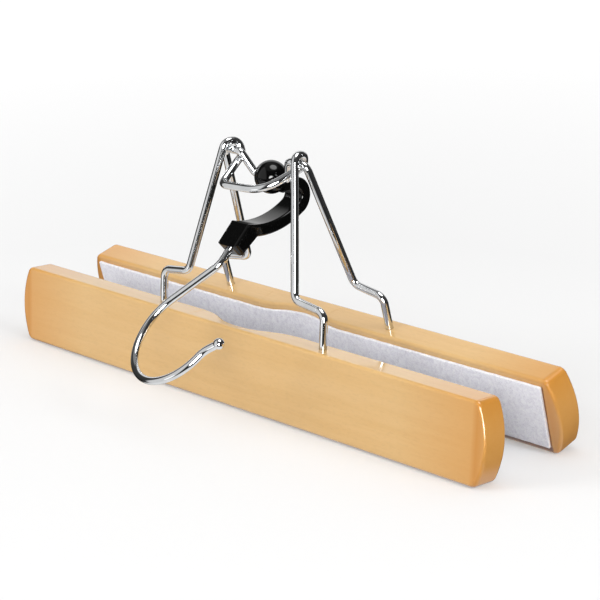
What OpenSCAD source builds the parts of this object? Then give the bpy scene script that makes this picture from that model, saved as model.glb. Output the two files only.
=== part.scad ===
// Trouser hanger: two wooden bars with felt pads clamp the trousers.
// Each bar hangs on a bent wire frame (bail). The front bail's eyes turn on the rear bail.
// A plastic lever turns on the rear bail, pulls the front bail's loop in and shuts the bars,
// and the swivelling hook stands in the lever's end.
// X runs along the bars, +Y is the back, +Z is up. The floor is z = 0, and all sizes are in mm.

/* [Bars] */
// Length of each bar over its bowed ends
bar_length = 250; // [180:1:320]
// Height of each bar
bar_height = 31; // [24:0.1:38]
// Thickness of each bar
bar_thickness = 11.4; // [9.5:0.1:14]
// How far each bar end bows out past its corners
end_bow = 3.8; // [2:0.1:8]
// Corner radius of the bar ends, seen from the front
corner_radius = 2.5; // [1.8:0.1:4]
// Radius of every eased edge on the bars
edge_radius = 1.3; // [0.6:0.1:1.5]
// Lean of the front bar when the hanger stands open, in degrees
front_lean = 3; // [1:0.5:8]
// Lean of the rear bar when the hanger stands open, in degrees
rear_lean = 16; // [10:0.5:20]

/* [Relief] */
// Depth of the finger relief in the front bar
front_relief = 6.9; // [3:0.1:7.6]
// Half width of the front relief
front_relief_half = 25; // [18:0.5:30]
// Depth of the finger relief in the rear bar
rear_relief = 3.8; // [2:0.1:6]
// Half width of the rear relief
rear_relief_half = 21.5; // [16:0.5:30]

/* [Felt pads] */
// Thickness of each felt pad
felt_thickness = 1.25; // [0.8:0.05:3]
// Half length of each felt pad
felt_half = 119; // [80:0.5:150]
// Bare wood above each felt pad
felt_margin = 2.5; // [1:0.1:5]
// Bare wood below each felt pad
felt_foot = 3.1; // [1:0.1:5]
// Gap left between the felt pads when the hanger is shut
shut_gap = 0.7; // [0.4:0.1:2]

/* [Wire frames] */
// Diameter of the wire in both bails and the hook
wire_d = 3; // [2.5:0.1:3.4]
// Height of the hinge axis above the floor
hinge_height = 94.1; // [86:0.1:105]
// Distance from the middle to each leg that enters a bar
stub_half = 43.2; // [38:0.1:60]
// Depth of the holes in the top of the bars
stub_hole = 12.5; // [8:0.1:18]
// Height of the first bend above the bars
jog_low = 13.45; // [10:0.05:18]
// Height of the second bend above the bars
jog_high = 15.55; // [12:0.05:20]
// Distance from the middle to the second bend
jog_half = 28.7; // [26:0.1:32]
// Bend radius of the legs
leg_bend = 3.6; // [3:0.1:5]
// Distance from the middle to the front legs at the hinge
front_top_half = 18.8; // [18.4:0.1:20]
// Distance from the middle to the rear legs at the hinge
rear_top_half = 21.6; // [21:0.1:23]
// Radial gap between the front bail's eyes and the rear bail's pin
eye_gap = 0.3; // [0.2:0.05:0.5]
// Length of the front bail's locking loop from the hinge
loop_reach = 14.9; // [14:0.1:16]
// How far the locking loop points down, in degrees
loop_drop = 30; // [28:0.5:32]

/* [Lock lever] */
// Width of the lever
lever_width = 10.2; // [8:0.1:12]
// Wall thickness of the lever's curved arm
lever_wall = 4.9; // [3.4:0.1:5]
// Inner radius of the crook that holds the shut loop
crook_radius = 2.7; // [2.4:0.1:3]
// Distance of the crook's centre behind the hub pin
crook_back = 8.9; // [8.8:0.05:9.2]
// Distance of the crook's centre below the hub pin
crook_below = 8.55; // [8.4:0.05:8.6]
// Inner radius of the long arm
arm_radius = 34; // [32:0.5:37]
// Radius of the eased edges of the lever
lever_edge = 1.1; // [0.5:0.1:1.6]
// Radius of the ball round the hub pin
ball_radius = 6.4; // [5.5:0.1:7]
// Width of the ball between its flat sides
ball_width = 10.4; // [9:0.1:11]
// Length of the block that carries the hook
block_length = 10.5; // [9:0.1:13]
// Corner radius of the block's end
block_corner = 2.2; // [0.8:0.1:2.4]
// Distance of the block's end in front of the hub pin, on the shank's axis
shank_ahead = 22.2; // [21.5:0.1:23]
// Distance of the block's end below the hub pin, on the shank's axis
shank_below = 24; // [23.5:0.1:24.5]
// Distance of the hub pin behind the hinge axis
hub_back = 3.5; // [3:0.1:4]
// Distance of the hub pin below the hinge axis
hub_drop = 8.5; // [8:0.1:9]
// Radial clearance of the turning fits
fit = 0.07; // [0.03:0.01:0.1]

/* [Hook] */
// Angle of the hook's shank below level when the hanger stands open, in degrees
shank_drop = 44; // [38:0.5:50]
// Turn of the hook about its shank when it lies as shown, in degrees
hook_turn = 9.6; // [-20:0.1:40]
// Straight length of the shank outside the lever
shank_length = 4.7; // [3:0.1:8]
// Bend of the shank, in degrees
neck_bend = 40; // [34:0.5:44]
// Straight length from the bend to the bow
neck_length = 21; // [18:0.1:26]
// Radius of the bow that goes over the rail
bow_radius = 20.7; // [18:0.1:24]
// Turn of the bow, in degrees
bow_turn = 198; // [185:1:205]
// Outward flare of the tip, in degrees
tip_flare = 32; // [15:1:45]
// Diameter of the rounded tip
tip_d = 4.2; // [3.6:0.1:6]

/* [Hidden] */
$fn = 96;
wire_r = wire_d / 2;
// Gap between the wire's ends and their hole bottoms
stub_play = 0.1;
// Bends and turned sectors are a hair slimmer than the straight stretches and run a little way
// into them, so that their union is one clean solid.
hair = 0.01;
lever_hair = 0.04;
bar_hair = 0.06;
lap = 0.12;

// A bar with its lean: height of its top when its lower edge stands on the floor.
function top_of(lean) = bar_height * cos(lean) + bar_thickness / 2 * sin(lean)
    - edge_radius * (cos(lean) + sin(lean) - 1);
front_top = top_of(front_lean);
rear_top = top_of(rear_lean);
// Height of each bar's top below the hinge axis.
front_below = hinge_height - front_top;
rear_below = hinge_height - rear_top;
// Reach of each bar from the hinge axis. Shut, the rear bar's inner face lies just in front of
// the axis, and the front bar's face lies two pads and the shut gap away from it.
rear_inset = 1.27;
rear_reach = (rear_below * sin(rear_lean) + bar_thickness / 2 - rear_inset) / cos(rear_lean);
front_inset = 2 * felt_thickness + shut_gap + rear_inset;
front_reach = (front_below * sin(front_lean) + bar_thickness / 2 + front_inset) / cos(front_lean);

// Points are worked out from the hinge axis: [along, back, up].
// A point of a bar: x along it, y out from its middle plane, z up from its top.
function rear_pt(x, y, z) = [x, rear_reach + y * cos(rear_lean) - z * sin(rear_lean),
    -rear_below + y * sin(rear_lean) + z * cos(rear_lean)];
function front_pt(x, y, z) = [x, -front_reach - y * cos(front_lean) + z * sin(front_lean),
    -front_below + y * sin(front_lean) + z * cos(front_lean)];

// The lever's plan is drawn from the hub pin: [back, up].
hub = [0, hub_back, -hub_drop];
lever_edge_in = min(lever_edge, lever_wall / 2 - 0.2);
crook_at = [crook_back, -crook_below];
crook_to_arm = 59.1;
arm_at = crook_at + (arm_radius - crook_radius) * [-cos(crook_to_arm), sin(crook_to_arm)];
arm_end = 105.5;
// The shank's axis leaves the block's end here, in the direction that the lever holds it.
shank_at = [-shank_ahead, -shank_below];
shank_dir = [0, -cos(shank_drop), -sin(shank_drop)];
shank_up = [0, -sin(shank_drop), cos(shank_drop)];
// Thickness of the block above and below the shank at its end, and its taper.
block_up = wire_r + fit + 1.15;
block_down = wire_r + fit + 1.35;
block_taper = 8;
// The shank's head turns in a chamber in the block.
head_r = wire_r + 0.4;
head_length = 1.6;
head_in = 8.6;

// The hook's plane holds the shank and this second direction.
hook_side = [-cos(hook_turn), 0, 0] + sin(hook_turn) * [0, sin(shank_drop), -cos(shank_drop)];
neck_radius = 6;
flare_radius = 9;
tip_length = 4.4;
shank_base = hub + [0, shank_at[0], shank_at[1]];
// Centre of the bow in that plane, which gives the hook's front-most point.
bow_along = shank_length + neck_radius * sin(neck_bend) + neck_length * cos(neck_bend)
    + bow_radius * sin(neck_bend);
bow_aside = neck_radius * (1 - cos(neck_bend)) + neck_length * sin(neck_bend)
    - bow_radius * cos(neck_bend);
hook_front = -(shank_base[1] + bow_along * shank_dir[1] + bow_aside * hook_side[1])
    + bow_radius * sqrt(pow(shank_dir[1], 2) + pow(hook_side[1], 2)) + wire_r;
rear_back = rear_reach + bar_height * sin(rear_lean) + bar_thickness / 2 * cos(rear_lean);
// The frame's origin is on the floor under the middle of the whole hanger.
hinge_at = [0, (hook_front - rear_back) / 2, hinge_height];

// Wire

function unit(v) = v / norm(v);
function across(v) = abs(v[2]) < 0.9 ? unit(cross([0, 0, 1], v)) : unit(cross([1, 0, 0], v));
function turn_of(a, b, c) = acos(max(-1, min(1, unit(b - a) * unit(c - b))));
function trim_of(p, r, i) = i < 1 || i > len(p) - 2 ? 0 : r[i] * tan(turn_of(p[i - 1], p[i], p[i + 1]) / 2);

// Puts local x, y and z along the three given directions.
module frame_at(at, x, y, z)
    multmatrix([[x[0], y[0], z[0], at[0]], [x[1], y[1], z[1], at[1]], [x[2], y[2], z[2], at[2]], [0, 0, 0, 1]])
        children();

// Turns its section about z from 0 to the angle a, and a lap further at both ends.
module lapped_arc(r, a) {
    more = lap / r * 180 / PI;
    rotate([0, 0, -more])
        rotate_extrude(angle = a + 2 * more)
            children();
}

// A round rod bent at each inner point with the radius given for that point.
module wire_path(p, r) {
    for (i = [0 : len(p) - 2]) {
        z = unit(p[i + 1] - p[i]);
        from = p[i] + z * trim_of(p, r, i);
        to = p[i + 1] - z * trim_of(p, r, i + 1);
        if (norm(to - from) > 0.01)
            frame_at(from, across(z), cross(z, across(z)), z)
                cylinder(r = wire_r, h = norm(to - from));
    }
    for (i = [1 : len(p) - 2]) {
        a = unit(p[i] - p[i - 1]);
        b = unit(p[i + 1] - p[i]);
        turn = turn_of(p[i - 1], p[i], p[i + 1]);
        inward = unit(b - a);
        centre = p[i] + inward * r[i] / cos(turn / 2);
        out = unit(p[i] - a * trim_of(p, r, i) - centre);
        frame_at(centre, out, a, cross(out, a))
            lapped_arc(r[i], turn)
                translate([r[i], 0])
                    circle(wire_r - hair);
    }
}

// Straight wire of length l along z. What follows goes on from its end.
module feed(l) {
    cylinder(r = wire_r, h = l);
    translate([0, 0, l])
        children();
}

// Wire bent by the angle a towards x, or away from x when a is negative.
module bend(r, a) {
    side = a < 0 ? -1 : 1;
    frame_at([side * r, 0, 0], [-side, 0, 0], [0, 0, 1], [0, side, 0])
        lapped_arc(r, abs(a))
            translate([r, 0])
                circle(wire_r - hair);
    translate([side * r, 0, 0])
        rotate([0, a, 0])
            translate([-side * r, 0, 0])
                children();
}

// Bars

// Bar section of height h with its corners eased where asked: y across, z up from its foot.
module bar_section(y0, y1, h, ease_low, ease_high) {
    translate([ease_low ? y0 + edge_radius : y0, 0])
        square([y1 - y0 - (ease_low ? edge_radius : 0) - (ease_high ? edge_radius : 0), h]);
    if (ease_low)
        translate([y0, edge_radius])
            square([edge_radius, h - 2 * edge_radius]);
    if (ease_high)
        translate([y1 - edge_radius, edge_radius])
            square([edge_radius, h - 2 * edge_radius]);
    for (z = [edge_radius, h - edge_radius]) {
        if (ease_low)
            translate([y0 + edge_radius, z])
                circle(edge_radius);
        if (ease_high)
            translate([y1 - edge_radius, z])
                circle(edge_radius);
    }
}

// Straight stretch of bar from x0 to x1.
module bar_run(x0, x1, y0, y1, ease_low, ease_high)
    translate([x0, 0, -bar_height])
        rotate([90, 0, 90])
            linear_extrude(x1 - x0)
                bar_section(y0, y1, bar_height, ease_low, ease_high);

// Rim of radius r and thickness t with both edges eased, turned from its middle outwards.
module rim_profile(r, t) {
    translate([0, -t / 2])
        square([r - edge_radius, t]);
    translate([r - edge_radius, -t / 2 + edge_radius])
        square([edge_radius, t - 2 * edge_radius]);
    for (y = [-1, 1])
        translate([r - edge_radius, y * (t / 2 - edge_radius)])
            intersection() {
                circle(edge_radius);
                translate([0, -2 * edge_radius])
                    square(4 * edge_radius);
            }
}

// Turned sector about an axis across the bar, from angle a0 to a1 in the front view.
module rim_sector(x, z, r, t, a0, a1)
    frame_at([x, 0, z], [cos(a0), 0, sin(a0)], [-sin(a0), 0, cos(a0)], [0, -1, 0])
        rotate_extrude(angle = a1 - a0)
            rim_profile(r, t);

// Bowed end with rounded corners, built from turned sectors that share their flat sides.
end_radius = (pow(bar_height / 2, 2) + pow(end_bow, 2)) / (2 * end_bow);
end_centre = bar_length / 2 - end_radius;
corner_x = end_centre + sqrt(pow(end_radius - corner_radius, 2) - pow(bar_height / 2 - corner_radius, 2));
end_angle = asin((bar_height / 2 - corner_radius) / (end_radius - corner_radius));
corner_lap = lap / corner_radius * 180 / PI;
module bar_end() {
    rim_sector(end_centre, -bar_height / 2, end_radius, bar_thickness, -end_angle, end_angle);
    rim_sector(corner_x, -corner_radius, corner_radius - bar_hair, bar_thickness - 2 * bar_hair,
        end_angle - corner_lap, 90 + corner_lap);
    rim_sector(corner_x, corner_radius - bar_height, corner_radius - bar_hair, bar_thickness - 2 * bar_hair,
        -90 - corner_lap, corner_lap - end_angle);
}

// The relief is an arch: a hollow arc in the middle runs into a round arc at each side.
function arc_sum(depth, half) = (half * half + depth * depth) / (2 * depth);
function arc_in(depth, half) = 0.55 * arc_sum(depth, half);
function arc_out(depth, half) = 0.45 * arc_sum(depth, half);
function arc_turn(depth, half) = asin(half / arc_sum(depth, half));
inner_y = -bar_thickness / 2;
split_y = bar_thickness / 2 - edge_radius - 0.6;

// Section turned about an upright axis: from radius r0 to r1, with the inner or outer rim eased.
module upright_section(r0, r1, slim, ease_inner)
    translate([0, slim - bar_height])
        bar_section(r0, r1, bar_height - 2 * slim, ease_inner, !ease_inner);

module below_split()
    translate([-bar_length, split_y + 0.3 - 200, -bar_height - 1])
        cube([2 * bar_length, 200, bar_height + 2]);

module relief_middle(depth, half) {
    turn = arc_turn(depth, half);
    ri = arc_in(depth, half);
    intersection() {
        translate([0, inner_y + depth - ri, 0])
            rotate([0, 0, 90 - turn])
                rotate_extrude(angle = 2 * turn)
                    upright_section(ri, ri + 2 * bar_thickness, 0, true);
        below_split();
    }
}

module relief_side(depth, half) {
    turn = arc_turn(depth, half);
    ro = arc_out(depth, half);
    intersection() {
        translate([half, inner_y + ro, 0])
            rotate([0, 0, -90 - turn])
                lapped_arc(ro, turn)
                    upright_section(max(1, ro - 2 * bar_thickness), ro - bar_hair, bar_hair, false);
        below_split();
    }
}

// A bar about its own middle plane, its top at z = 0 and its inner face towards -y.
module bar(depth, half)
    difference() {
        union() {
            bar_run(-half, half, split_y, bar_thickness / 2, false, true);
            relief_middle(depth, half);
            relief_side(depth, half);
            mirror([1, 0, 0])
                relief_side(depth, half);
            bar_run(half, corner_x, inner_y, bar_thickness / 2, true, true);
            bar_run(-corner_x, -half, inner_y, bar_thickness / 2, true, true);
            bar_end();
            mirror([1, 0, 0])
                bar_end();
        }
        for (x = [-stub_half, stub_half])
            translate([x, 0, -stub_hole])
                cylinder(r = wire_r + fit, h = stub_hole + 1);
    }

// A felt pad glued to a bar's inner face. It follows the relief.
module felt(depth, half) {
    turn = arc_turn(depth, half);
    ri = arc_in(depth, half);
    ro = arc_out(depth, half);
    h = bar_height - felt_margin - felt_foot;
    translate([0, 0, felt_foot - bar_height]) {
        translate([half, inner_y - felt_thickness, 0])
            cube([felt_half - half, felt_thickness, h]);
        translate([-felt_half, inner_y - felt_thickness, 0])
            cube([felt_half - half, felt_thickness, h]);
        translate([0, inner_y + depth - ri, 0])
            rotate([0, 0, 90 - turn])
                rotate_extrude(angle = 2 * turn)
                    translate([ri - felt_thickness, 0])
                        square([felt_thickness, h]);
        for (side = [0, 1])
            mirror([side, 0, 0])
                translate([half, inner_y + ro, 0])
                    rotate([0, 0, -90 - turn])
                        lapped_arc(ro, turn)
                            translate([ro + bar_hair, bar_hair])
                                square([felt_thickness - 2 * bar_hair, h - 2 * bar_hair]);
    }
}

module from_hinge()
    translate(hinge_at)
        children();

module on_rear_bar()
    from_hinge()
        translate([0, rear_reach, -rear_below])
            rotate([rear_lean, 0, 0])
                children();

module on_front_bar()
    from_hinge()
        mirror([0, 1, 0])
            translate([0, front_reach, -front_below])
                rotate([front_lean, 0, 0])
                    children();

module front_bar()
    color("#b9762f")
        on_front_bar()
            bar(front_relief, front_relief_half);

module rear_bar()
    color("#b9762f")
        on_rear_bar()
            bar(rear_relief, rear_relief_half);

module front_felt()
    color("#b4b8bc")
        on_front_bar()
            felt(front_relief, front_relief_half);

module rear_felt()
    color("#b4b8bc")
        on_rear_bar()
            felt(rear_relief, rear_relief_half);

// Bails

// Rear bail: one wire from bar to bar, stepped down in the middle to carry the lever.
pin_end = 12.8;
hub_pin_half = 8.4;
pin_bend = 3;
function rear_leg(s) = [
    rear_pt(s * stub_half, 0, stub_play - stub_hole),
    rear_pt(s * stub_half, 0, jog_low),
    rear_pt(s * jog_half, 0.4, jog_high),
    [s * rear_top_half, 0, 0],
    [s * pin_end, 0, 0],
    [s * hub_pin_half, hub[1], hub[2]]
];
module rear_bail() {
    left = rear_leg(-1);
    right = rear_leg(1);
    color("#c9ccd0")
        from_hinge()
            wire_path(
                concat(left, [for (i = [5 : -1 : 0]) right[i]]),
                [0, leg_bend, leg_bend, pin_bend, 2.4, 2.4, 2.4, 2.4, pin_bend, leg_bend, leg_bend, 0]
            );
}

// Front bail: each leg rises in front of the rear bail's pin, wraps over and behind it, comes
// out under it on the leg's inner side, and the two strands meet in the locking loop.
eye_r = wire_d + eye_gap;
front_knee = front_pt(0, 0.6, jog_high);
leg_rise = atan2(-front_knee[2], -front_knee[1]) + asin(eye_r / norm([front_knee[1], front_knee[2]]));
eye_front_y = front_knee[1] + (eye_r - front_knee[2]) / tan(leg_rise);
loop_out = [0, -cos(loop_drop), -sin(loop_drop)];
loop_under = eye_r * [0, sin(loop_drop), -cos(loop_drop)];
eye_back_t = (eye_r - loop_under[1]) / cos(loop_drop);
function loop_pt(x, d) = [x, 0, 0] + loop_under + d * loop_out;
function front_leg(s) = [
    front_pt(s * stub_half, 0, stub_play - stub_hole),
    front_pt(s * stub_half, 0, jog_low),
    front_pt(s * jog_half, 0.6, jog_high),
    [s * (front_top_half - 0.2), eye_front_y, eye_r]
];
function eye_turn(s, x1, x2) = [
    [s * x1, eye_r, eye_r],
    loop_pt(s * x2, -eye_back_t)
];
module front_bail() {
    eye_bend = eye_r - 0.3;
    left = concat(front_leg(-1), eye_turn(-1, 17.4, 15.2), [loop_pt(-11.3, loop_reach + 0.6)]);
    right = concat(front_leg(1), eye_turn(1, 18.1, 17.2), [loop_pt(9.4, loop_reach - 0.8)]);
    color("#c9ccd0")
        from_hinge()
            wire_path(
                concat(left, [for (i = [6 : -1 : 0]) right[i]]),
                [0, leg_bend, leg_bend, eye_bend, eye_bend, eye_bend, 3.2,
                    12, eye_bend, eye_bend, eye_bend, leg_bend, leg_bend, 0]
            );
}

// Lever and hook

// The lever's own view: x across it, y back, z up, with the hub pin at the origin.
module strap_section(mid, slim)
    translate([mid, 0]) {
        wall = lever_wall - 2 * slim;
        wide = lever_width - 2 * slim;
        square([wall - 2 * lever_edge_in, wide], center = true);
        square([wall, wide - 2 * lever_edge_in], center = true);
        for (a = [-1, 1])
            for (b = [-1, 1])
                translate([a * (wall / 2 - lever_edge_in), b * (wide / 2 - lever_edge_in)])
                    circle(lever_edge_in);
    }

// Curved stretch of the lever about a centre in its side view, from angle a0 to a1.
module strap_arc(at, r, a0, a1, slim)
    frame_at([0, at[0], at[1]], [0, cos(a0), sin(a0)], [0, -sin(a0), cos(a0)], [1, 0, 0])
        rotate_extrude(angle = a1 - a0)
            strap_section(r, slim);

// The block round the shank: z along the shank, y up, x across, with its end at z = 0.
// The outline that rounds its end is a little wider than the block.
module in_shank(at)
    frame_at(at, [-1, 0, 0], shank_up, shank_dir)
        children();

module eased_bar(y0, y1, l)
    linear_extrude(l) {
        translate([-lever_width / 2 + lever_edge, y0])
            square([lever_width - 2 * lever_edge, y1 - y0]);
        translate([-lever_width / 2, y0 + lever_edge])
            square([lever_width, y1 - y0 - 2 * lever_edge]);
        for (x = [-1, 1])
            for (y = [y0 + lever_edge, y1 - lever_edge])
                translate([x * (lever_width / 2 - lever_edge), y])
                    circle(lever_edge);
    }

module block()
    intersection() {
        translate([0, 0, -block_length])
            eased_bar(-12, block_up, block_length + 2);
        rotate([-block_taper, 0, 0])
            translate([0, 0, -block_length - 4])
                eased_bar(-block_down, 12, block_length + 6);
        rotate([90, 0, 0])
            linear_extrude(30, center = true) {
                half = lever_width / 2 + 0.06;
                translate([-half + block_corner, -block_length])
                    square([2 * (half - block_corner), block_length]);
                translate([-half, -block_length])
                    square([2 * half, block_length - block_corner]);
                for (x = [-1, 1])
                    translate([x * (half - block_corner), -block_corner])
                        circle(block_corner);
            }
    }

module lock_lever() {
    neck_z = crook_at[1] + crook_radius + lever_wall / 2;
    color("#1b1b1d")
        from_hinge()
            translate(hub)
                difference() {
                    union() {
                        intersection() {
                            sphere(ball_radius);
                            cube([ball_width, 4 * ball_radius, 4 * ball_radius], center = true);
                        }
                        frame_at([0, 2, neck_z], [0, 0, -1], [1, 0, 0], [0, -1, 0])
                            mirror([0, 0, 1])
                                linear_extrude(crook_at[0] - 2)
                                    strap_section(0, 0);
                        strap_arc(crook_at, crook_radius + lever_wall / 2, -crook_to_arm, 91.5, lever_hair);
                        strap_arc(arm_at, arm_radius + lever_wall / 2, -arm_end, 0.2 - crook_to_arm, 2 * lever_hair);
                        in_shank([0, shank_at[0], shank_at[1]])
                            block();
                    }
                    rotate([0, 90, 0])
                        cylinder(r = wire_r + fit, h = 2 * ball_width, center = true);
                    in_shank([0, shank_at[0], shank_at[1]]) {
                        translate([0, 0, -head_in])
                            cylinder(r = wire_r + fit, h = head_in + 1);
                        translate([0, 0, -head_in - head_length - 0.2])
                            cylinder(r = head_r + fit, h = head_length + 0.2);
                    }
                }
}

// The hook turns on its shank. A small head keeps it in the lever.
module hook()
    color("#c9ccd0")
        from_hinge()
            frame_at(shank_base, hook_side, cross(shank_dir, hook_side), shank_dir) {
                translate([0, 0, -head_in - head_length - 0.1])
                    cylinder(r = head_r, h = head_length);
                translate([0, 0, -head_in - 0.1])
                    feed(head_in + 0.1 + shank_length)
                        bend(neck_radius, neck_bend)
                            feed(neck_length)
                                bend(bow_radius, -bow_turn)
                                    feed(0.6)
                                        bend(flare_radius, tip_flare)
                                            feed(tip_length)
                                                sphere(d = tip_d);
            }

front_bar();
rear_bar();
front_felt();
rear_felt();
front_bail();
rear_bail();
lock_lever();
hook();
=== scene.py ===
import bpy
from math import asin, cos, hypot, radians, sin
from mathutils import Matrix, Vector, noise


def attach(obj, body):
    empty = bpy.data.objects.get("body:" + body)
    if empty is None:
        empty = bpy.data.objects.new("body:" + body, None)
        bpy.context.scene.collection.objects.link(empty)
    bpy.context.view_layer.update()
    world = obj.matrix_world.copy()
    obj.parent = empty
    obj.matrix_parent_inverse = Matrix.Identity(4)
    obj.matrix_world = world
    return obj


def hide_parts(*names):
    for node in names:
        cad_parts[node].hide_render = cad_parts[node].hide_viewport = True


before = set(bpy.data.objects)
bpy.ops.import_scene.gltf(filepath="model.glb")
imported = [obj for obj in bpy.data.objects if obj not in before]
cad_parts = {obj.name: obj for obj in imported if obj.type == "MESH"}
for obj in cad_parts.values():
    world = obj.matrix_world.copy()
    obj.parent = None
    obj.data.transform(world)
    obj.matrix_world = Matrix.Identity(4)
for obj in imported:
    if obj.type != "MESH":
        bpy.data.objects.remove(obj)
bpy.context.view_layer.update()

# ---- Camera ------------------------------------------------------------------------------
# The photograph's view: from the front right, 17 degrees above the table, through a long
# lens. Its place was solved from the corners of the two bars and the ends of the wires.
camera_data = bpy.data.cameras.new("photo_camera")
camera_data.lens = 120.63
camera_data.sensor_width = 36
camera_data.clip_start = 0.05
camera_data.clip_end = 20
camera = bpy.data.objects.new("photo_camera", camera_data)
bpy.context.scene.collection.objects.link(camera)
camera_right = Vector((0.71340, 0.70076, -0.00418))
camera_up = Vector((-0.19817, 0.20745, 0.95795))
camera_back = camera_right.cross(camera_up)
camera_place = Vector((0.5252, -0.501705, 0.2581))
camera.matrix_world = Matrix((
    (camera_right.x, camera_up.x, camera_back.x, camera_place.x),
    (camera_right.y, camera_up.y, camera_back.y, camera_place.y),
    (camera_right.z, camera_up.z, camera_back.z, camera_place.z),
    (0, 0, 0, 1),
))
bpy.context.scene.camera = camera


# ---- Wooden bars -------------------------------------------------------------------------
# Two planed bars of pale beech with eased edges, bowed ends and a shallow finger relief. A
# clear honey-coloured lacquer is sprayed over them, and goes darker on the end grain. Painted
# shade darkens the wood below and beside the felt and along the lowest outer edge.

# How each bar stands: the Y and Z of its middle plane at its top, its lean, and the side of
# its felt, which is 1 towards the front and -1 towards the rear.
front_stance = (-0.000489, 0.0311896, radians(3), -1)
rear_stance = (0.035676, 0.0310623, radians(16), 1)


def linear(code):
    """Turns an sRGB hex colour into the linear colour that the shaders take."""
    parts = [int(code[i:i + 2], 16) / 255 for i in (0, 2, 4)]
    return [p / 12.92 if p <= 0.04045 else ((p + 0.055) / 1.055) ** 2.4 for p in parts] + [1]


def add_node(tree, kind, settings=None, **inputs):
    """Adds a node with its settings, and links its inputs or gives them values. An input
    called in0, in1 and so on is the one of that number. The setting called stops fills a
    colour ramp, where each stop is a position and a hex colour or a grey level."""
    node = tree.nodes.new(kind)
    for name, value in {**(settings or {}), **inputs}.items():
        if name == "stops":
            elements = node.color_ramp.elements
            while len(elements) < len(value):
                elements.new(0.5)
            for element, (position, colour) in zip(elements, value):
                element.position = position
                is_hex = isinstance(colour, str)
                element.color = linear(colour) if is_hex else (colour, colour, colour, 1)
        elif hasattr(node, name):
            setattr(node, name, value)
        else:
            is_number = name[:2] == "in" and name[2:].isdigit()
            socket = node.inputs[int(name[2:]) if is_number else name.replace("_", " ")]
            if hasattr(value, "is_linked"):
                tree.links.new(value, socket)
            else:
                socket.default_value = value
    return node


def new_material(name):
    """A new material: itself, its tree, its shader and the piece's Object coordinates."""
    material = bpy.data.materials.new(name)
    material.use_nodes = True
    tree = material.node_tree
    place = tree.nodes.new("ShaderNodeTexCoord").outputs["Object"]
    return material, tree, tree.nodes["Principled BSDF"], place


def finish_node(node, material):
    """Gives a CAD node its material."""
    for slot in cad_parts[node].material_slots:
        slot.material = material


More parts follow.
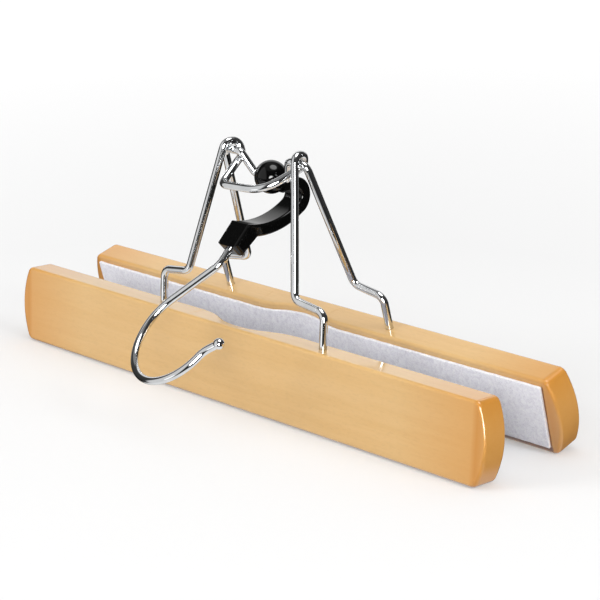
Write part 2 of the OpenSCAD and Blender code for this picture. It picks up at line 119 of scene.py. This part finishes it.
def lacquered_wood(name, seed, stance):
    """The lacquered wood of the bar that stands so. The seed picks its place in the plank."""
    middle, top, lean, inward = stance
    material, tree, shader, place = new_material(name)
    plank = add_node(tree, "ShaderNodeMapping", {"Location": (seed, seed * 0.7, seed * 0.3)},
                     Vector=place).outputs[0]
    # Growth rings and streaks run along the bar, stretched 14 times. Rings are 17 mm across
    # and fainter ones down to 2 mm lie between them. Streaks are 2.4 mm across.
    along = add_node(tree, "ShaderNodeMapping", {"Scale": (0.07, 1, 1)}, Vector=plank).outputs[0]
    rings = add_node(tree, "ShaderNodeTexNoise",
                     {"Scale": 60, "Detail": 3, "Roughness": 0.5, "Distortion": 0.4},
                     Vector=along).outputs["Fac"]
    streaks = add_node(tree, "ShaderNodeTexNoise",
                       {"Scale": 420, "Detail": 4, "Roughness": 0.6, "Distortion": 0.5},
                       Vector=along).outputs["Fac"]
    # Pores are 0.8 mm wide and 2.3 mm long, far coarser than real ones, so that they show.
    short = add_node(tree, "ShaderNodeMapping", {"Scale": (0.33, 1, 1)}, Vector=plank).outputs[0]
    pores = add_node(tree, "ShaderNodeTexNoise", {"Scale": 1300, "Detail": 2, "Roughness": 0.6},
                     Vector=short).outputs["Fac"]
    # Slow clouding of the lacquer, 30 mm across.
    clouds = add_node(tree, "ShaderNodeTexNoise", {"Scale": 33, "Detail": 2},
                      Vector=plank).outputs["Fac"]

    # Where on the bar a point is: from the middle of its length, out from its middle plane on
    # the side away from the felt, and up from its top.
    apart = add_node(tree, "ShaderNodeSeparateXYZ", in0=place)
    far = add_node(tree, "ShaderNodeMath", {"operation": "ABSOLUTE"},
                   in0=apart.outputs[0]).outputs[0]
    local = add_node(tree, "ShaderNodeVectorMath", {"operation": "SUBTRACT"},
                     in0=place, in1=(0, middle, top)).outputs[0]
    out, height = (
        add_node(tree, "ShaderNodeVectorMath", {"operation": "DOT_PRODUCT"},
                 in0=local, in1=axis).outputs["Value"]
        for axis in ((0, inward * cos(lean), sin(lean)), (0, -inward * sin(lean), cos(lean))))
    # Each measure is a share that rises from 0 at the first place to its most at the second.
    thick, tip, below, beside, beyond, inside, outside, under_top = (
        add_node(tree, "ShaderNodeMapRange",
                 {"From Min": first, "From Max": second, "To Max": most},
                 Value=measure).outputs[0]
        for measure, first, second, most in (
            (far, 0.085, 0.120, 0.7),  # the last 40 mm of the bar
            (far, 0.118, 0.126, 1),  # its bowed end
            (height, -0.0274, -0.0310, 1),  # from the felt's foot to the bar's lower edge
            (far, 0.1187, 0.1199, 1),  # beside the end of the felt
            (far, 0.1199, 0.1192, 1),  # not past the end of the felt
            (out, -0.0042, -0.0050, 1),  # the face that the felt is on
            (out, 0.0, 0.004, 1),  # the outer half
            (height, -0.0018, -0.0030, 1),  # not on the top edge
        ))

    # Painted shade: the wood is painted dark brown for 3 mm under the felt and 1 mm beside it,
    # where shade falls, and a lighter brown along the lowest edge of the outer face.
    multiply = {"data_type": "RGBA", "blend_type": "MULTIPLY", "in0": 1.0}
    lighten = {"data_type": "RGBA", "blend_type": "LIGHTEN", "in0": 1.0}
    painted_shade_below_felt, painted_shade_beside_felt, tip_share, painted_lower_edge_shade = (
        add_node(tree, "ShaderNodeValToRGB", {"stops": stops}, Fac=share).outputs["Color"]
        for share, stops in (
            (below, ((0.05, 0.0), (0.22, 0.95), (0.62, 0.95), (0.88, 0.2))),
            (beside, ((0.10, 0.0), (0.35, 0.9), (0.55, 0.9), (0.80, 0.0))),
            (tip, ((0.1, 0.0), (0.38, 0.8), (0.6, 0.6), (0.85, 0.25))),
            (below, ((0.78, 0.0), (0.95, 0.6))),
        ))
    # Painted shade beside the end of the felt, kept off the top edge.
    painted_shade_beside_felt = add_node(tree, "ShaderNodeMix", multiply,
                            in6=painted_shade_beside_felt, in7=under_top).outputs[2]
    painted_felt_shade = add_node(tree, "ShaderNodeMix", lighten, in6=painted_shade_below_felt, in7=painted_shade_beside_felt).outputs[2]
    for limit in (inside, beyond):
        painted_felt_shade = add_node(tree, "ShaderNodeMix", multiply, in6=painted_felt_shade, in7=limit).outputs[2]
    # Painted shade along the lowest edge of the outer face.
    edge = add_node(tree, "ShaderNodeMix", multiply, in6=painted_lower_edge_shade, in7=outside).outputs[2]

    # The wood's own colour, then streaks, pores, clouds, thicker lacquer towards the ends and the
    # deeper orange of the end grain; over it, painted shade below and beside the felt and along
    # the lower edge.
    colour, streak_colour, pore_shade, cloud_shade = (
        add_node(tree, "ShaderNodeValToRGB", {"stops": stops}, Fac=pattern).outputs["Color"]
        for pattern, stops in (
            (rings, ((0.30, "D2A96A"), (0.52, "D3AB6E"), (0.72, "D5AD72"))),
            (streaks, ((0.35, "C79B5B"), (0.62, "D9B47C"))),
            (pores, ((0.30, 0.90), (0.50, 1.0))),
            (clouds, ((0.30, 0.975), (0.70, 1.0))),
        ))
    for how, share, layer in (
        ("MIX", 0.20, streak_colour),
        ("MULTIPLY", 0.5, pore_shade),
        ("MULTIPLY", 1.0, cloud_shade),
        ("MIX", thick, linear("C88A34")),
        ("MIX", tip_share, linear("BF7C18")),
        # painted shade below and beside the felt
        ("MIX", painted_felt_shade, linear("5E2604")),
        # painted shade along the lower outer edge
        ("MIX", edge, linear("8F4E1E")),
    ):
        colour = add_node(tree, "ShaderNodeMix", {"data_type": "RGBA", "blend_type": how},
                          in0=share, in6=colour, in7=layer).outputs[2]
    tree.links.new(colour, shader.inputs["Base Color"])
    shader.inputs["Roughness"].default_value = 0.45
    shader.inputs["IOR"].default_value = 1.5
    shader.inputs["Coat Weight"].default_value = 1.0
    shader.inputs["Coat Roughness"].default_value = 0.08
    shader.inputs["Coat IOR"].default_value = 1.5
    # The lacquer lies over the grain in waves of about 0.02 mm.
    wave = add_node(tree, "ShaderNodeBump", {"Strength": 0.3, "Distance": 0.00008},
                    Height=streaks)
    tree.links.new(wave.outputs[0], shader.inputs["Normal"])
    return material


finish_node("front_bar", lacquered_wood("front_bar_lacquered_wood", 0.31, front_stance))
finish_node("rear_bar", lacquered_wood("rear_bar_lacquered_wood", 1.17, rear_stance))


# ---- Felt pads ---------------------------------------------------------------------------
# Two strips of pressed grey wool felt, 1.25 mm thick, cut with a blade and glued to the inner
# faces of the bars. Each strip follows its bar's finger relief, and grips without marking.
felt, tree, shader, place = new_material("pressed_wool_felt")
# Tufts are 1.5 mm across. Single fibres are drawn 0.5 mm wide, far coarser than real ones.
tufts = add_node(tree, "ShaderNodeTexNoise",
                 {"Scale": 650, "Detail": 3, "Roughness": 0.6, "Distortion": 0.8},
                 Vector=place).outputs["Fac"]
fibres = add_node(tree, "ShaderNodeTexNoise",
                  {"Scale": 2100, "Detail": 2, "Roughness": 0.7, "Distortion": 2.0},
                  Vector=place).outputs["Fac"]
wool = add_node(tree, "ShaderNodeValToRGB",
                {"stops": ((0.30, "E2E1EA"), (0.50, "F0F0F7"), (0.72, "F9FAFD"))},
                Fac=tufts).outputs["Color"]
between_fibres = add_node(tree, "ShaderNodeValToRGB",
                          {"stops": ((0.30, 0.66), (0.44, 0.93), (0.60, 1.0))},
                          Fac=fibres).outputs["Color"]
colour = add_node(tree, "ShaderNodeMix", {"data_type": "RGBA", "blend_type": "MULTIPLY"},
                  in0=0.8, in6=wool, in7=between_fibres).outputs[2]
tree.links.new(colour, shader.inputs["Base Color"])
shader.inputs["Roughness"].default_value = 0.95
shader.inputs["Specular IOR Level"].default_value = 0.2
shader.inputs["Sheen Weight"].default_value = 0.08
shader.inputs["Sheen Roughness"].default_value = 0.5
fuzz = add_node(tree, "ShaderNodeMath", {"operation": "ADD"}, in0=tufts, in1=fibres).outputs[0]
nap = add_node(tree, "ShaderNodeBump", {"Strength": 0.7, "Distance": 0.00025}, Height=fuzz)
tree.links.new(nap.outputs[0], shader.inputs["Normal"])

felt_thickness = 0.00125
# The felt's upper and lower edge below the bar's top, half its length, and its bar's face
# from the bar's middle plane.
felt_top, felt_foot = -0.0025, -0.0279
felt_half = 0.119
bar_face = 0.0057


def relief_path(depth, half):
    """The line of a bar's inner face from end to end, as (along the bar, into the bar). It is
    flat, with two rounded shoulders and a hollow of that depth and half length in the middle."""
    total = (half * half + depth * depth) / (2 * depth)
    hollow, shoulder = 0.55 * total, 0.45 * total
    turn = asin(half / total)
    side = [(half - shoulder * sin(turn * k / 12), shoulder - shoulder * cos(turn * k / 12))
            for k in range(13)]
    middle = [(hollow * sin(turn * k / 16), depth - hollow + hollow * cos(turn * k / 16))
              for k in range(-15, 16)]
    half_path = [(-felt_half, 0.0)] + [(-x, y) for x, y in side]
    return half_path + middle + side[::-1] + [(felt_half, 0.0)]


def felt_pad(name, node, body, path, stance):
    """A strip is cut flat from a grid, laid along the relief, thickened and softened."""
    middle, top, lean, inward = stance
    lengths = [0.0]
    for (x0, y0), (x1, y1) in zip(path, path[1:]):
        lengths.append(lengths[-1] + hypot(x1 - x0, y1 - y0))
    flat_length = lengths[-1]
    bpy.ops.object.select_all(action="DESELECT")
    bpy.ops.mesh.primitive_grid_add(x_subdivisions=300, y_subdivisions=34, size=1)
    pad = bpy.context.object
    pad.name = name
    for vertex in pad.data.vertices:
        run = (vertex.co.x + 0.5) * flat_length
        height = felt_foot + (vertex.co.y + 0.5) * (felt_top - felt_foot)
        if abs(vertex.co.y) > 0.49:
            # A blade cuts the two long edges a little unevenly, by up to 0.15 mm.
            cut = 7.3 if vertex.co.y > 0 else 1.9
            height += 0.00015 * noise.noise(Vector((run * 260, cut, top * 900)))
        k = max(i for i in range(len(path) - 1) if lengths[i] <= run + 1e-9)
        share = min(1.0, (run - lengths[k]) / (lengths[k + 1] - lengths[k]))
        x = path[k][0] + share * (path[k + 1][0] - path[k][0])
        y = path[k][1] + share * (path[k + 1][1] - path[k][1])
        vertex.co = (x, y - bar_face, height)
    solid = pad.modifiers.new("thickness", "SOLIDIFY")
    solid.thickness = felt_thickness
    solid.offset = 1
    solid.use_even_offset = True
    bpy.ops.object.modifier_apply(modifier="thickness")
    soft = pad.modifiers.new("soft_edges", "BEVEL")
    soft.width = 0.0003
    soft.segments = 3
    soft.limit_method = "ANGLE"
    soft.angle_limit = radians(60)
    bpy.ops.object.modifier_apply(modifier="soft_edges")
    for vertex in pad.data.vertices:
        # The face swells and dips by 0.05 mm.
        vertex.co.y += 0.00005 * noise.noise(vertex.co * 420)
        along, out, up = vertex.co
        vertex.co = (along,
                     middle + inward * (out * cos(lean) - up * sin(lean)),
                     top + out * sin(lean) + up * cos(lean))
    if inward < 0:
        # The front pad is laid the other way round, which turns its faces inwards.
        bpy.ops.object.mode_set(mode="EDIT")
        bpy.ops.mesh.select_all(action="SELECT")
        bpy.ops.mesh.flip_normals()
        bpy.ops.object.mode_set(mode="OBJECT")
    bpy.ops.object.shade_smooth_by_angle(angle=radians(50))
    pad.data.materials.append(felt)
    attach(pad, body)
    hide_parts(node)


felt_pad("front_felt_pad", "front_felt", "front_frame", relief_path(0.0069, 0.025), front_stance)
felt_pad("rear_felt_pad", "rear_felt", "rear_frame", relief_path(0.0038, 0.0215), rear_stance)


# ---- Chromed wires -----------------------------------------------------------------------
# Both bails and the hook are bent from 3 mm steel wire, polished and chrome plated, so they
# mirror the room in long black and white lines. The bails' ends are pressed into the bars.
chrome, tree, shader, place = new_material("polished_chrome_on_steel")
# Faint haze from handling, in patches 4 mm across.
haze = add_node(tree, "ShaderNodeTexNoise", {"Scale": 260, "Detail": 3},
                Vector=place).outputs["Fac"]
tint = add_node(tree, "ShaderNodeValToRGB", {"stops": ((0.3, "D6D8DA"), (0.7, "E2E3E4"))},
                Fac=haze)
tree.links.new(tint.outputs["Color"], shader.inputs["Base Color"])
shader.inputs["Metallic"].default_value = 1
gloss = add_node(tree, "ShaderNodeMapRange", {"To Min": 0.04, "To Max": 0.08}, Value=haze)
tree.links.new(gloss.outputs[0], shader.inputs["Roughness"])
# Drawing the wire leaves very faint ripples, 6 mm long.
ripple = add_node(tree, "ShaderNodeTexNoise", {"Scale": 160, "Detail": 0},
                  Vector=place).outputs["Fac"]
wave = add_node(tree, "ShaderNodeBump", {"Strength": 0.1, "Distance": 0.00002}, Height=ripple)
tree.links.new(wave.outputs[0], shader.inputs["Normal"])
for wire in ("front_bail", "rear_bail", "hook"):
    finish_node(wire, chrome)


# ---- Lock lever --------------------------------------------------------------------------
# The lever is moulded in black ABS round the rear bail. Its polished mould leaves a gloss
# with a faint waviness, and handling leaves fine dull marks on it.
black, tree, shader, place = new_material("moulded_black_abs")
# Waves are 3 mm across, and marks 1 mm.
sinks = add_node(tree, "ShaderNodeTexNoise", {"Scale": 300, "Detail": 2},
                 Vector=place).outputs["Fac"]
scuffs = add_node(tree, "ShaderNodeTexNoise", {"Scale": 1100, "Detail": 3, "Roughness": 0.6},
                  Vector=place).outputs["Fac"]
tint = add_node(tree, "ShaderNodeValToRGB", {"stops": ((0.40, "040404"), (0.70, "080808"))},
                Fac=scuffs)
tree.links.new(tint.outputs["Color"], shader.inputs["Base Color"])
dull = add_node(tree, "ShaderNodeMapRange",
                {"From Min": 0.35, "From Max": 0.75, "To Min": 0.05, "To Max": 0.12},
                Value=scuffs)
tree.links.new(dull.outputs[0], shader.inputs["Roughness"])
shader.inputs["IOR"].default_value = 1.54
shader.inputs["Specular IOR Level"].default_value = 0.3
wave = add_node(tree, "ShaderNodeBump", {"Strength": 0.25, "Distance": 0.00006}, Height=sinks)
tree.links.new(wave.outputs[0], shader.inputs["Normal"])
finish_node("lock_lever", black)


# ---- Table -------------------------------------------------------------------------------
# A matt white table that keeps the hanger's soft shadow. Only for the camera is it lifted
# towards white, and more so far away, where it fades into the white background.
bpy.ops.object.select_all(action="DESELECT")
bpy.ops.mesh.primitive_plane_add(size=8, location=(0, 0, 0))
floor = bpy.context.object
floor.name = "floor"
floor.visible_glossy = False
table = bpy.data.materials.new("white_table")
table.use_nodes = True
tree = table.node_tree
tree.nodes.clear()
rays = tree.nodes.new("ShaderNodeLightPath")
matte = add_node(tree, "ShaderNodeBsdfDiffuse", {"Color": linear("C6C6C6")})
distance = add_node(tree, "ShaderNodeVectorMath", {"operation": "LENGTH"},
                    in0=tree.nodes.new("ShaderNodeTexCoord").outputs["Object"]).outputs["Value"]
fade = add_node(tree, "ShaderNodeMapRange",
                {"From Min": 0.25, "From Max": 1.3, "To Min": 0.26, "To Max": 0.66},
                Value=distance)
lift = add_node(tree, "ShaderNodeEmission", {"Color": (1, 1, 1, 1)}, Strength=fade.outputs[0])
shown = add_node(tree, "ShaderNodeMixShader",
                 in0=rays.outputs["Is Camera Ray"], in2=lift.outputs[0])
both = add_node(tree, "ShaderNodeAddShader", in0=matte.outputs[0], in1=shown.outputs[0])
add_node(tree, "ShaderNodeOutputMaterial", in0=both.outputs[0])
floor.data.materials.append(table)


# ---- Studio and lamps --------------------------------------------------------------------
# The camera sees a plain white background. Metal and lacquer mirror a studio that is drawn by
# direction, and the table and the soft lamps are hidden from them. An even fill lights the rest.
world = bpy.data.worlds.new("studio")
bpy.context.scene.world = world
world.use_nodes = True
tree = world.node_tree
tree.nodes.clear()
rays = tree.nodes.new("ShaderNodeLightPath")
way = tree.nodes.new("ShaderNodeTexCoord").outputs["Generated"]


def soft_side(axis, dark, light, level):
    """How bright the studio is in a direction: 0 at one dot product with the axis, the level
    at the other, and a soft edge between them."""
    towards = add_node(tree, "ShaderNodeVectorMath", {"operation": "DOT_PRODUCT"},
                       in0=way, in1=axis)
    return add_node(tree, "ShaderNodeMapRange",
                    {"interpolation_type": "SMOOTHSTEP",
                     "From Min": dark, "From Max": light, "To Max": level},
                    Value=towards.outputs["Value"]).outputs[0]


to_right, to_camera, up = (0.7134, 0.7008, 0), (0.7008, -0.7134, 0), (0, 0, 1)
# The wall and the backdrop each end where a second side begins.
white_wall, backdrop = (
    add_node(tree, "ShaderNodeMath", {"operation": "MULTIPLY"}, in0=first, in1=second).outputs[0]
    for first, second in (
        (soft_side(to_right, -0.45, -0.62, 0.8), soft_side(to_camera, -0.30, -0.10, 1.0)),
        (soft_side(to_camera, -0.64, -0.82, 1.0), soft_side(up, -0.05, 0.15, 1.0)),
    ))
bright = soft_side(up, -2, 2, 0.08)  # the dark room, a little lighter overhead
for part in (
    white_wall,
    backdrop,
    soft_side(up, -0.55, -0.72, 0.95),  # table
    soft_side(up, 0.70, 0.85, 0.28),  # ceiling
    soft_side((0.22, 0.08, 0.972), 0.925, 0.970, 6),  # top lamp
    soft_side((0.698, -0.711, 0.087), 0.955, 0.985, 28),  # lamp beside the camera
    soft_side((-0.15, -0.944, -0.292), 0.965, 0.985, 1.5),  # white card
):
    bright = add_node(tree, "ShaderNodeMath", {"operation": "MAXIMUM"},
                      in0=bright, in1=part).outputs[0]
mirrored = add_node(tree, "ShaderNodeBackground", {"Color": (1, 1, 1, 1)}, Strength=bright)
fill = add_node(tree, "ShaderNodeBackground", {"Color": (1, 1, 1, 1), "Strength": 0.70})
white = add_node(tree, "ShaderNodeBackground", {"Color": (1, 1, 1, 1), "Strength": 1.0})
shown = add_node(tree, "ShaderNodeMath", {"operation": "MAXIMUM"},
                 in0=rays.outputs["Is Camera Ray"], in1=rays.outputs["Is Transmission Ray"])
light = add_node(tree, "ShaderNodeMixShader",
                 in0=rays.outputs["Is Glossy Ray"], in1=fill.outputs[0], in2=mirrored.outputs[0])
seen = add_node(tree, "ShaderNodeMixShader",
                in0=shown.outputs[0], in1=light.outputs[0], in2=white.outputs[0])
add_node(tree, "ShaderNodeOutputWorld", in0=seen.outputs[0])


def soft_lamp(name, place, size, power):
    """A soft lamp that faces the hanger, 40 mm above the table, and isn't mirrored in it."""
    data = bpy.data.lights.new(name, "AREA")
    data.shape = "RECTANGLE"
    data.size, data.size_y = size
    data.energy = power
    lamp = bpy.data.objects.new(name, data)
    lamp.visible_glossy = False
    facing = (Vector(place) - Vector((0, 0, 0.04))).to_track_quat("Z", "Y")
    lamp.matrix_world = Matrix.Translation(place) @ facing.to_matrix().to_4x4()
    bpy.context.scene.collection.objects.link(lamp)


soft_lamp("left_lamp", (-0.75, -1.2, 0.65), (0.6, 0.7), 10.6)
soft_lamp("right_lamp", (1.3, 0.1, 0.8), (0.5, 0.6), 8.5)
soft_lamp("camera_lamp", (0.85, -1.25, 0.45), (0.4, 0.4), 4.4)
soft_lamp("top_lamp", (0.1, 0.0, 1.2), (1.0, 1.0), 2.8)

bpy.context.scene.view_settings.view_transform = "Standard"
